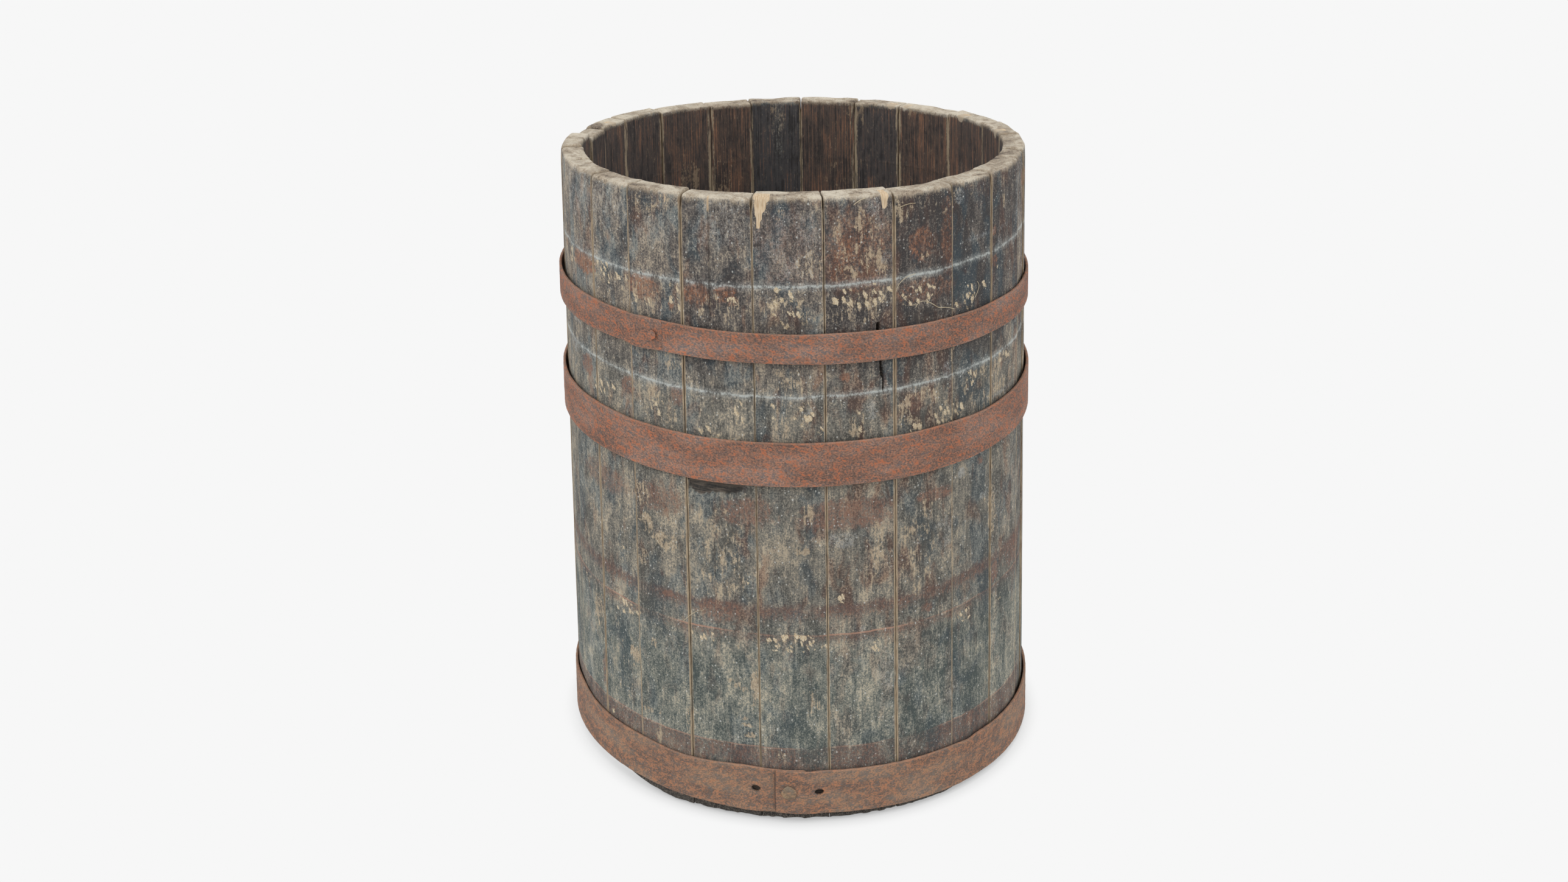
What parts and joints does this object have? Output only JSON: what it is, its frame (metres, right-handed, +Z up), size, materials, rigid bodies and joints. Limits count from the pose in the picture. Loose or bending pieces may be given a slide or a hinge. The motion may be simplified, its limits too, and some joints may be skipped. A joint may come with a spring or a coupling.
{
  "type": "oak wine vat",
  "caption": "Open-topped oak wine vat: a weathered, tapered ring of staves with a dowelled bottom head, bound by flat rusted iron hoops with lapped, riveted ends.",
  "frame": {"origin": "centre of the circle of stave ends that the vat stands on", "axes": "+Z up the vat; -Y is the front, where the bottom hoop's lapped ends and rivet are"},
  "size_m": [0.6306, 0.6348, 0.8077],
  "materials": {
    "oak_staves": "weathered, dry, blue-grey and brown with worn pale edges",
    "oak_head": "wine-stained, dry",
    "oak_dowels": "bare, turned",
    "rusted_iron": "matte rust over forged iron strip"
  },
  "bodies": {
    "cask": {"stave_01": "oak_staves", "stave_02": "oak_staves", "stave_03": "oak_staves", "stave_04": "oak_staves", "stave_05": "oak_staves", "stave_06": "oak_staves", "stave_07": "oak_staves", "stave_08": "oak_staves", "stave_09": "oak_staves", "stave_10": "oak_staves", "stave_11": "oak_staves", "stave_12": "oak_staves", "stave_13": "oak_staves", "stave_14": "oak_staves", "stave_15": "oak_staves", "stave_16": "oak_staves", "stave_17": "oak_staves", "stave_18": "oak_staves", "stave_19": "oak_staves", "stave_20": "oak_staves", "stave_21": "oak_staves", "stave_22": "oak_staves", "stave_23": "oak_staves", "stave_24": "oak_staves", "head_board_1": "oak_head", "head_board_2": "oak_head", "head_board_3": "oak_head", "head_board_4": "oak_head", "head_board_5": "oak_head", "head_dowel_1": "oak_dowels", "head_dowel_2": "oak_dowels", "head_dowel_3": "oak_dowels", "head_dowel_4": "oak_dowels", "head_dowel_5": "oak_dowels", "head_dowel_6": "oak_dowels", "head_dowel_7": "oak_dowels", "head_dowel_8": "oak_dowels"},
    "upper_hoop": {"upper_hoop": "rusted_iron", "upper_hoop_rivet": "rusted_iron"},
    "middle_hoop": {"middle_hoop": "rusted_iron", "middle_hoop_rivet": "rusted_iron"},
    "bottom_hoop": {"bottom_hoop": "rusted_iron", "bottom_hoop_rivet": "rusted_iron"}
  },
  "joints": [
    {"name": "upper_hoop_slide", "type": "slide", "parent": "cask", "child": "upper_hoop", "axis": [-0.0157, 0, 0.9999], "range_m": [0, 0.05]},
    {"name": "middle_hoop_slide", "type": "slide", "parent": "cask", "child": "middle_hoop", "axis": [-0.0157, 0, 0.9999], "range_m": [0, 0.05]},
    {"name": "bottom_hoop_slide", "type": "slide", "parent": "cask", "child": "bottom_hoop", "axis": [-0.0157, 0, 0.9999], "range_m": [0, 0.03]}
  ]
}
